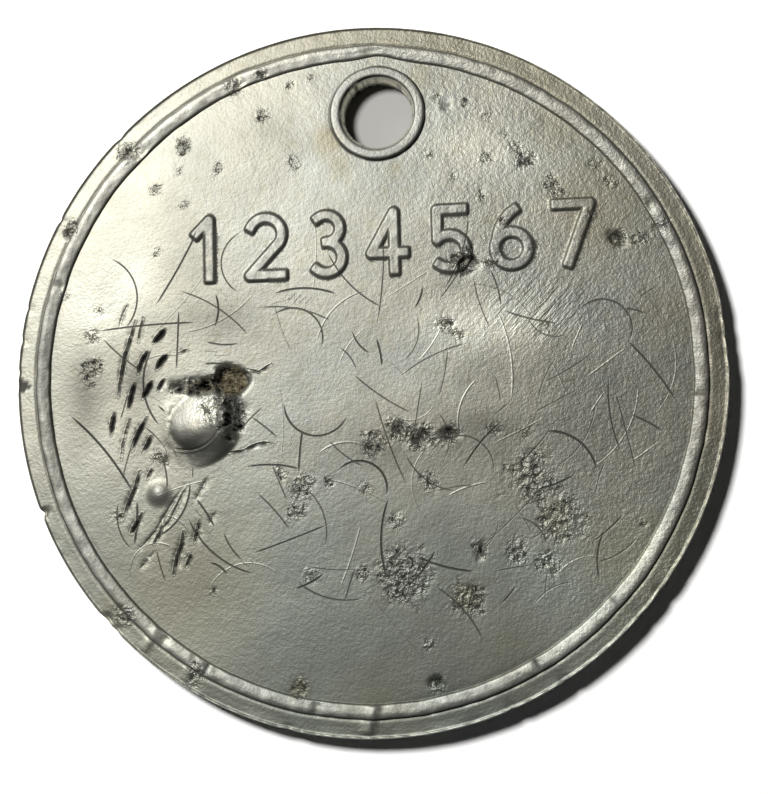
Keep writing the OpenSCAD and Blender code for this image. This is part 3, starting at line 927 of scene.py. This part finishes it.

# %% [markdown]
# Handling wore some places bright, and others stayed dull. The same chart holds painted light: it paints
# the blister's lit top brighter, its skirt below the fold darker and the bead's highlights near the foot
# of the disc. It is charted as soft humps, above 0 where the metal is brighter than usual and below 0
# where it is darker. The bead is mottled, and painted lighter or darker by the side it faces. The sharp
# edge has painted glints towards the lower right, and painted light makes the bore brighter than the field.

# %% Painted light, and worn and dull places
PAINTED_LIGHT_AND_WEAR = [
    # x, y, radius along, radius across, turn in degrees, how much brighter
    [-17.4, 3.7, 1.5, 1.3, 0, 0.42],
    [-15.1, 6.2, 2.1, 1.0, 60, 0.22],
    [-10.6, 3.6, 4.4, 1.6, 0, -0.22],
    [-18.1, -0.8, 1.1, 3.3, 0, -0.36],
    [7.6, 3.0, 4.0, 1.5, 0, 0.75],
    [3.3, 0.2, 3.1, 1.1, 25, 0.30],
    [7.5, -3.1, 3.8, 1.0, 0, -0.24],
    [14.3, -0.7, 3.8, 1.6, 0, -0.14],
    [14.6, -3.2, 3.1, 1.0, 0, -0.14],
    [-6.4, -5.9, 2.1, 1.0, 0, 0.20],
    [-6.0, -14.7, 3.8, 2.1, 0, 0.16],
    [16.9, -7.8, 1.4, 3.8, -20, 0.20],
    [7.5, 14.3, 3.5, 1.5, -20, 0.28],
    [-14.0, 12.5, 1.6, 2.5, -40, 0.22],
    [-5.8, 15.5, 2.5, 1.5, 0, -0.10],
    [5.1, -14.7, 5.6, 2.5, 0, -0.06],
    [11.0, -15.1, 3.6, 1.8, 40, 0.20],
    [13.6, 6.6, 3.0, 2.2, 0, 0.12],
    # Painted highlight on the blister's lit top.
    [-10.3, -2.0, 1.3, 1.2, 0, 1.1],
    [-11.0, 7.4, 2.5, 2.0, 0, -0.20],
    # Painted shade on the blister's skirt, below its fold.
    [-11.2, -4.5, 1.5, 0.8, 0, -0.68],
    # Painted highlights on the bead near the foot of the disc, in this row and the next two.
    [16.8, -11.5, 2.2, 3.5, -25, 0.50],
    [12.9, -16.5, 2.5, 2.0, 0, 0.35],
    [-10.8, -16.5, 3.0, 2.0, 0, 0.35],
    [1.0, -4.7, 2.0, 1.1, 0, -0.35],
    [6.5, -4.5, 3.0, 1.4, 0, -0.18],
    [7.0, 16.0, 5.0, 4.0, 0, 0.18],
    [-11.5, 13.0, 4.0, 4.0, 0, -0.26],
    [-7.8, 2.5, 3.6, 3.0, 0, -0.16],
    [-10.9, 4.3, 1.8, 1.5, 0, -0.12],
    [-14.6, -0.1, 1.1, 1.4, 0, -0.58],
    [-17.2, -1.2, 1.9, 2.4, 0, -0.22],
    [-14.4, -3.6, 0.8, 1.2, 0, -0.30],
    [13.5, 11.5, 5.5, 6.0, 0, 0.24],
    [12.6, -12.0, 3.0, 3.0, 0, 0.40],
    [-17.0, -5.8, 1.5, 2.1, 0, 0.16],
    [1.2, 3.1, 3.8, 1.5, 0, -0.05],
    [17.1, 4.5, 1.6, 2.9, 10, 0.06],
]
lower_right = fade(-0.1, 0.9, towards(angle, -50))
upper_left = fade(0.5, 1.0, towards(angle, 120))
far_left = fade(0.80, 1.0, towards(angle, 175))
# Painted glints along the sharp edge, towards the lower right.
edge_glints = fade(-0.15, 0.20, grain(x, y, 0.40, 27.0, 3)) * fade(-0.5, 0.5, towards(angle, -35))
wear_and_painted_light = 0.10 * grain(x, y, 3.0, 31.0, 3) + humps(x, y, PAINTED_LIGHT_AND_WEAR)
# Painted light on the bead: lighter towards the lower right and upper left, darker at the far left.
wear_and_painted_light += on_bead * (0.12 * lower_right + 0.28 * upper_left - 0.28 * far_left)
wear_and_painted_light += 0.45 * on_bead * grain(x, y, 0.6, 33.0, 3)
# A painted highlight along the bead's outer edge at the upper left.
wear_and_painted_light += 0.9 * upper_left * line_at(radius, bead_out_r - 0.02, 0.09)
# Painted light that brightens the bore's wall.
wear_and_painted_light += 2.2 * in_bore
wear_and_painted_light += 0.20 * (inside > 0) * grain(x, y, 0.5, 35.0, 3)
wear_and_painted_light += 2.0 * edge_glints * line_at(radius, edge_r - 0.12, 0.08)
print("rubbed places:", len(PAINTED_LIGHT_AND_WEAR), "from", round(wear_and_painted_light.min(), 2), "to", round(wear_and_painted_light.max(), 2))

# %% [markdown]
# Each set of scratches gives two marks: how far a point lies from the nearest line of the set, and how
# strong that line is there. A scratch fades out at both ends, and none crosses the large blister. Then
# all the marks are gathered under the names that the material asks for.

# %% Scratches, and all the marks by name
scratch_reach = 0.55
# The dirt mark also carries painted shade, and the mark of worn places also carries painted light.
marks = {"dirt_and_painted_shade": dirt_and_painted_shade, "eaten": eaten, "brown": brown, "stain": stain, "wear_and_painted_light": wear_and_painted_light}
marks["scuffed"] = np.exp(-from_oval(x, y, (11.0, 4.0), 2.9, 2.0) ** 2) * top_side
marks["gouge_gap"] = np.where(top_side > 0.5, gouge_gap, reach_of_gap)
from_blister = np.hypot(x - blister_x, y - blister_y)
for number, lines in enumerate(SCRATCHES):
    nearest = np.full(len(x), 1.0)
    weight = np.zeros(len(x))
    for strength, points in lines:
        away, share = along_line(x, y, points)
        closer = np.abs(away) < np.abs(nearest)
        nearest = np.where(closer, away, nearest)
        ends = fade(0, 0.15, share) * (1 - fade(0.85, 1, share))
        weight = np.where(closer, strength * ends * (np.abs(away) < scratch_reach), weight)
    marks[f"scratch_{number}"] = nearest
    marks[f"scratch_{number}_weight"] = weight * top_side * fade(2.4, 2.9, from_blister)
print("marks:", ", ".join(marks))

# %% [markdown]
# The moved points go back into the mesh, which is then turned from millimetres to metres and given to the
# scene as one object at the origin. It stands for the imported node, so that node is hidden, and it rides
# on the disc's only body.

# %% The finished skin
for vert, place in zip(tag.verts, moved):
    vert.co = place
bmesh.ops.recalc_face_normals(tag, faces=tag.faces)
open_edges = sum(edge.is_boundary for edge in tag.edges)
bmesh.ops.scale(tag, vec=(MM, MM, MM), verts=tag.verts)
tag_mesh = bpy.data.meshes.new("zinc_tag")
tag.to_mesh(tag_mesh)
tag.free()
for name, values in marks.items():
    attribute = tag_mesh.attributes.new(name, "FLOAT", "POINT")
    attribute.data.foreach_set("value", values.astype(np.float32))
tag_mesh.shade_smooth()
zinc_tag = bpy.data.objects.new("zinc_tag", tag_mesh)
bpy.context.scene.collection.objects.link(zinc_tag)
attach(zinc_tag, "root")
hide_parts("disc")
triangles = sum(len(polygon.vertices) - 2 for polygon in tag_mesh.polygons)
print("zinc tag:", triangles, "triangles,", open_edges, "open edges")

# %% [markdown]
# Materials are made of nodes. Writing each node, its settings and its links by hand takes many lines, so
# a few helpers add one node and return the socket that the next step needs.

# %% Helpers for materials


def add_node(tree, kind, sockets=None, **settings):
    """Adds a node, sets its options, and links or fills its sockets by name or number."""
    node = tree.nodes.new(kind)
    for name, value in settings.items():
        setattr(node, name, value)
    for name, value in (sockets or {}).items():
        if isinstance(value, bpy.types.NodeSocket):
            tree.links.new(value, node.inputs[name])
        else:
            node.inputs[name].default_value = value
    return node


def math_of(operation, a, b=0.5, c=0.5):
    """One step of arithmetic, in the node tree that the first socket belongs to."""
    return add_node(a.id_data, "ShaderNodeMath", {0: a, 1: b, 2: c}, operation=operation).outputs[0]


def times(a, b):
    """Two values multiplied."""
    return math_of("MULTIPLY", a, b)


def plus_share(total, value, share):
    """The total plus a share of the value."""
    return math_of("MULTIPLY_ADD", value, share, total)


def larger(a, b):
    """The larger of two values."""
    return math_of("MAXIMUM", a, b)


def gap_from(value, middle):
    """How far a value lies from a middle value, on either side of it."""
    return math_of("ABSOLUTE", math_of("SUBTRACT", value, middle))


def fade_of(value, start, end, first=0.0, last=1.0):
    """Goes softly from first to last while the value goes from start to end."""
    sockets = {"Value": value, "From Min": start, "From Max": end, "To Min": first, "To Max": last}
    node = add_node(value.id_data, "ShaderNodeMapRange", sockets, interpolation_type="SMOOTHSTEP")
    return node.outputs["Result"]


def mix_of(share, a, b):
    """A colour that goes from a to b as the share goes from 0 to 1."""
    return add_node(share.id_data, "ShaderNodeMix", {0: share, 6: a, 7: b}, data_type="RGBA").outputs[2]


def noise_of(place, scale, detail=3.0, roughness=0.55, distortion=0.0):
    """Soft noise around 0.5, with this many lumps to a unit of the place."""
    sockets = {"Vector": place, "Scale": scale, "Detail": detail, "Roughness": roughness}
    sockets["Distortion"] = distortion
    return add_node(place.id_data, "ShaderNodeTexNoise", sockets, noise_dimensions="3D").outputs["Fac"]


def new_tree(owner):
    """Turns nodes on for a material or a world, and returns its emptied node tree."""
    owner.use_nodes = True
    owner.node_tree.nodes.clear()
    return owner.node_tree


print("material helpers ready")

# %% [markdown]
# As-cast zinc that has lain in the ground is a dull silver. Most of its look is a fine pebbled grain,
# about a fifth of a millimetre wide, that throws small lights and shades all over the face. Three noises
# of different sizes make that grain as a bump, coarser towards the upper right. The patterns read Object
# coordinates in millimetres, and the marks of the mesh are fetched once here for all that follows.

# %% The zinc's grain
dull_zinc = bpy.data.materials.new("dull_zinc")
tree = new_tree(dull_zinc)
object_place = add_node(tree, "ShaderNodeTexCoord").outputs["Object"]
sockets = {"Vector": object_place, "Scale": (1 / MM, 1 / MM, 1 / MM)}
place = add_node(tree, "ShaderNodeMapping", sockets).outputs["Vector"]
axes = add_node(tree, "ShaderNodeSeparateXYZ", {0: place}).outputs
mark = {name: add_node(tree, "ShaderNodeAttribute", attribute_name=name).outputs["Fac"] for name in marks}

pebble = noise_of(place, 5.0, 2.0, 0.5)
fine_pebble = noise_of(place, 12.0, 2.0, 0.5)
lumps = noise_of(place, 1.1, 3.0, 0.55)
grain_height = times(pebble, 0.028)
grain_height = plus_share(grain_height, fine_pebble, 0.012)
grain_height = plus_share(grain_height, lumps, 0.028)
towards_upper_right = plus_share(axes["X"], axes["Y"], 0.35)
bump_height = times(grain_height, fade_of(towards_upper_right, 1.0, 14.0, 0.56, 1.2))
print("marks read:", len(mark))

# %% [markdown]
# The eaten patches have small pits joined by thin cracks, with crumbs between them. All three come from
# one wandering noise, so they fit together, and the pebbles roughen the crumbs. The gouges get a low burr
# beside them, and the deeper ones are black inside. A scratch is a narrow groove where the line's mark
# comes near 0. Two sets of scratches are cut and dark, and the third is fresh and bright. One patch on
# the right is scuffed along one direction, by noise that is drawn out.

# %% Pits, gouges and scratches in the zinc
wander = noise_of(place, 2.6, 2.0, 0.5, 0.3)
pits = fade_of(plus_share(wander, mark["eaten"], 0.07), 0.650, 0.690)
cracks = fade_of(gap_from(wander, 0.52), 0.004, 0.018, 0.55, 0.0)
pits_here = times(larger(pits, cracks), fade_of(mark["eaten"], 0.09, 0.42))
bump_height = plus_share(bump_height, pits_here, -0.07)
crumb_height = times(math_of("SUBTRACT", wander, 0.5), -0.22)
crumb_height = plus_share(crumb_height, math_of("SUBTRACT", pebble, 0.5), 0.12)
bump_height = plus_share(bump_height, crumb_height, mark["eaten"])

gouge_black = fade_of(mark["gouge_gap"], -0.05, 0.01, 0.96, 0.0)
gouge_burr = fade_of(gap_from(mark["gouge_gap"], 0.07), 0.0, 0.06, 1.0, 0.0)
bump_height = plus_share(bump_height, gouge_burr, 0.012)

scratch_lines = []
for number in range(len(SCRATCHES)):
    away = math_of("ABSOLUTE", mark[f"scratch_{number}"])
    weight = mark[f"scratch_{number}_weight"]
    half_width = plus_share(0.030, weight, 0.055)
    scratch_lines.append(times(fade_of(away, 0.0, half_width, 1.0, 0.0), weight))
cut_lines = larger(scratch_lines[0], scratch_lines[1])
bright_lines = scratch_lines[2]
bump_height = plus_share(bump_height, cut_lines, -0.055)
bump_height = plus_share(bump_height, bright_lines, 0.020)

scuff_turn = add_node(tree, "ShaderNodeMapping", {"Vector": place, "Rotation": (0, 0, -0.85)})
sockets = {"Vector": scuff_turn.outputs["Vector"], "Scale": (0.35, 3.2, 1.0)}
scuff_place = add_node(tree, "ShaderNodeMapping", sockets).outputs["Vector"]
scuffs = times(noise_of(scuff_place, 1.0, 3.0, 0.6), mark["scuffed"])
bump_height = plus_share(bump_height, scuffs, 0.11)
bump = add_node(tree, "ShaderNodeBump", {"Height": bump_height, "Strength": 1.0, "Distance": MM})
print("scratch lines:", len(scratch_lines))

# %% [markdown]
# The colour is built up in layers. First comes the metal, cool and warm in clouds, with freckles and
# specks, then a painted greenish reflection towards the foot and a painted warm tint of the lamp towards
# the left. Then come the warm stains, the paler digits and bead, the bare tips and bright scratches, the
# worn and dull places with the painted light that shares their mark, the brown crust, and last black for
# the dirt in every pit, cut and corner and for the painted shade along the corners.

# %% The zinc's colour
COOL_ZINC = (0.29, 0.30, 0.275, 1)
WARM_ZINC = (0.34, 0.335, 0.29, 1)
TAN_FRECKLE = (0.25, 0.235, 0.17, 1)
DULL_SPECK = (0.19, 0.19, 0.17, 1)
GREEN_REFLECTION_TINT = (0.240, 0.268, 0.240, 1)
WARM_LAMPLIGHT_TINT = (0.322, 0.314, 0.262, 1)
WARM_STAIN = (0.222, 0.203, 0.138, 1)
EATEN_ZINC = (0.22, 0.21, 0.17, 1)
RAISED_ZINC = (0.325, 0.325, 0.315, 1)
BARE_METAL = (0.55, 0.55, 0.50, 1)
PALE_CRUST = (0.24, 0.22, 0.13, 1)
DARK_CRUST = (0.075, 0.05, 0.025, 1)
BLACK_DIRT = (0.012, 0.012, 0.013, 1)

clouds = noise_of(place, 0.16, 4.0, 0.55)
freckles = noise_of(place, 1.3, 4.0, 0.6)
specks = noise_of(place, 7.0, 2.0, 0.5)
crust_noise = noise_of(place, 5.0, 4.0, 0.65)
raised = fade_of(axes["Z"], field_z + 0.16, field_z + 0.22, 0.0, 0.4)
raised = times(raised, fade_of(axes["Z"], 1.90, 2.05, 1.0, 0.0))
bright_tips = times(fade_of(wander, 0.36, 0.30), mark["eaten"])

skin = mix_of(fade_of(clouds, 0.35, 0.65), COOL_ZINC, WARM_ZINC)
skin = mix_of(fade_of(freckles, 0.50, 0.72, 0.0, 0.5), skin, TAN_FRECKLE)
skin = mix_of(fade_of(specks, 0.25, 0.75, 0.30, 0.0), skin, DULL_SPECK)
# Painted reflection: the metal turns greener towards the foot.
skin = mix_of(fade_of(axes["Y"], -3.0, -13.0, 0.0, 0.6), skin, GREEN_REFLECTION_TINT)
# Painted warm tint of the lamp, creamier towards the left.
skin = mix_of(fade_of(axes["X"], -3.0, -14.0, 0.0, 0.45), skin, WARM_LAMPLIGHT_TINT)
skin = mix_of(times(mark["stain"], 0.8), skin, WARM_STAIN)
skin = mix_of(times(mark["eaten"], 0.15), skin, EATEN_ZINC)
skin = mix_of(raised, skin, RAISED_ZINC)
skin = mix_of(times(larger(bright_lines, bright_tips), 0.5), skin, BARE_METAL)
# The brightness of worn and dull places, and of the painted light that shares their mark.
sockets = {0: skin, "Scale": math_of("ADD", mark["wear_and_painted_light"], 1.0)}
skin = add_node(tree, "ShaderNodeVectorMath", sockets, operation="SCALE").outputs[0]
crust_skin = mix_of(fade_of(crust_noise, 0.38, 0.62), PALE_CRUST, DARK_CRUST)
skin = mix_of(mark["brown"], skin, crust_skin)
# The dark share is dirt, dark pits, cuts and black gouges, together with the painted shade of the corner
# lines.
dark_share = larger(mark["dirt_and_painted_shade"], times(pits_here, 0.8))
dark_share = larger(dark_share, times(cut_lines, 0.78))
dark_share = larger(dark_share, gouge_black)
colour = mix_of(dark_share, skin, BLACK_DIRT)
print("colour: from", COOL_ZINC[:3], "and", WARM_ZINC[:3], "to", BLACK_DIRT[:3])

# %% [markdown]
# Bare zinc is a metal, while dirt and brown crust are not, and they are rough and hardly shine. So the
# share of metal, the roughness and the shine all follow the dark and brown places, and the painted shade
# in the dark share is made dull the same way.

# %% The zinc's finish
roughness = plus_share(0.46, clouds, 0.08)
roughness = plus_share(roughness, dark_share, 0.3)
roughness = plus_share(roughness, raised, 0.06)
sockets = {
    "Base Color": colour,
    "Metallic": fade_of(larger(dark_share, mark["brown"]), 0.0, 0.9, 0.85, 0.05),
    "Roughness": roughness,
    "Specular IOR Level": fade_of(dark_share, 0.2, 0.9, 0.5, 0.08),
    "Normal": bump.outputs["Normal"],
}
surface = add_node(tree, "ShaderNodeBsdfPrincipled", sockets)
add_node(tree, "ShaderNodeOutputMaterial", {"Surface": surface.outputs["BSDF"]})
zinc_tag.data.materials.append(dull_zinc)
print("dull zinc:", len(tree.nodes), "nodes")

# %% [markdown]
# The photograph was taken from about ten centimetres away, a little from the lower right. A close camera
# matters here, because it shows the wall of the cord hole. The camera is placed from the middle of the
# disc, and the lens follows from how many pixels one millimetre takes in the picture, whose height is its
# longer side, the side that the sensor's width stands for.

# %% The camera
PIXELS_HIGH = 794
pixels_per_mm = 15.982
camera_at = Vector((11.62, -10.84, 98.12 + border_z))
aim = Vector((1.183, -1.356, border_z))
backwards = (camera_at - aim).normalized()
to_right = Vector((0, 1, 0)).cross(backwards).normalized()
to_top = backwards.cross(to_right)
camera_data = bpy.data.cameras.new("camera")
camera_data.sensor_width = 36
camera_data.lens = pixels_per_mm * camera_data.sensor_width * (camera_at - aim).length / PIXELS_HIGH
camera_data.clip_start = MM
camera = bpy.data.objects.new("camera", camera_data)
camera.matrix_world = Matrix((
    (to_right.x, to_top.x, backwards.x, camera_at.x * MM),
    (to_right.y, to_top.y, backwards.y, camera_at.y * MM),
    (to_right.z, to_top.z, backwards.z, camera_at.z * MM),
    (0, 0, 0, 1),
))
bpy.context.scene.collection.objects.link(camera)
bpy.context.scene.camera = camera
print("camera distance:", round((camera_at - aim).length, 1), "mm, lens:", round(camera_data.lens, 1))

# %% [markdown]
# The disc lies on white paper, and a soft lamp at the upper left lights it. A metal shows what it
# reflects, so the lamp's size and place decide how bright each side of the face is. The camera made the
# paper plain white, which this light alone can't, so a second lamp in the same place lights only the
# paper. Through the cord hole the paper is grey, so it is painted grey under the disc. The room around is
# dim grey, darker overhead where the camera and the photographer are.

# %% The paper, the lamps and the room
LAMP_AT = (-54.2, 47.9, 114.0)
LAMP_SIZE = 34
WHITE_PAPER = (0.9, 0.9, 0.9, 1)
SHADED_PAPER = (0.235, 0.23, 0.222, 1)
LOW_ROOM = (0.60, 0.62, 0.64, 1)
HIGH_ROOM = (0.10, 0.105, 0.105, 1)
paper = bmesh.new()
bmesh.ops.create_grid(paper, x_segments=1, y_segments=1, size=0.6)
paper_mesh = bpy.data.meshes.new("paper")
paper.to_mesh(paper_mesh)
paper.free()
floor = bpy.data.objects.new("paper", paper_mesh)
bpy.context.scene.collection.objects.link(floor)
white_paper = bpy.data.materials.new("white_paper")
tree = new_tree(white_paper)
paper_place = add_node(tree, "ShaderNodeTexCoord").outputs["Object"]
from_middle = add_node(tree, "ShaderNodeVectorMath", {0: paper_place}, operation="LENGTH")
under_disc = fade_of(from_middle.outputs["Value"], 20.0 * MM, 20.5 * MM, 1.0, 0.0)
paper_colour = mix_of(under_disc, WHITE_PAPER, SHADED_PAPER)
sockets = {"Base Color": paper_colour, "Roughness": 0.9, "Specular IOR Level": 0.1}
paper_surface = add_node(tree, "ShaderNodeBsdfPrincipled", sockets)
add_node(tree, "ShaderNodeOutputMaterial", {"Surface": paper_surface.outputs["BSDF"]})
paper_mesh.materials.append(white_paper)


def soft_lamp(name, power, colour):
    """A round area lamp at the lamps' shared place, facing the middle of the disc."""
    data = bpy.data.lights.new(name, "AREA")
    data.shape = "DISK"
    data.size = LAMP_SIZE * MM
    data.energy = power
    data.color = colour
    lamp = bpy.data.objects.new(name, data)
    lamp.location = Vector(LAMP_AT) * MM
    lamp.rotation_euler = (-Vector(LAMP_AT)).to_track_quat("-Z", "Y").to_euler()
    bpy.context.scene.collection.objects.link(lamp)
    return lamp


key_lamp = soft_lamp("key_lamp", 0.171, (1.0, 0.985, 0.945))
paper_lamp = soft_lamp("paper_lamp", 0.21, (1.0, 1.0, 1.0))
paper_only = bpy.data.collections.new("paper_only")
paper_only.objects.link(floor)
paper_lamp.light_linking.receiver_collection = paper_only

room = bpy.data.worlds.new("room")
tree = new_tree(room)
direction = add_node(tree, "ShaderNodeTexCoord").outputs["Generated"]
upwards_share = add_node(tree, "ShaderNodeSeparateXYZ", {0: direction}).outputs["Z"]
room_colour = mix_of(fade_of(upwards_share, 0.15, 0.95), LOW_ROOM, HIGH_ROOM)
background = add_node(tree, "ShaderNodeBackground", {"Color": room_colour, "Strength": 0.08})
add_node(tree, "ShaderNodeOutputWorld", {"Surface": background.outputs["Background"]})
bpy.context.scene.world = room
bpy.context.scene.view_settings.view_transform = "Standard"
print("lamp power:", key_lamp.data.energy, "W")
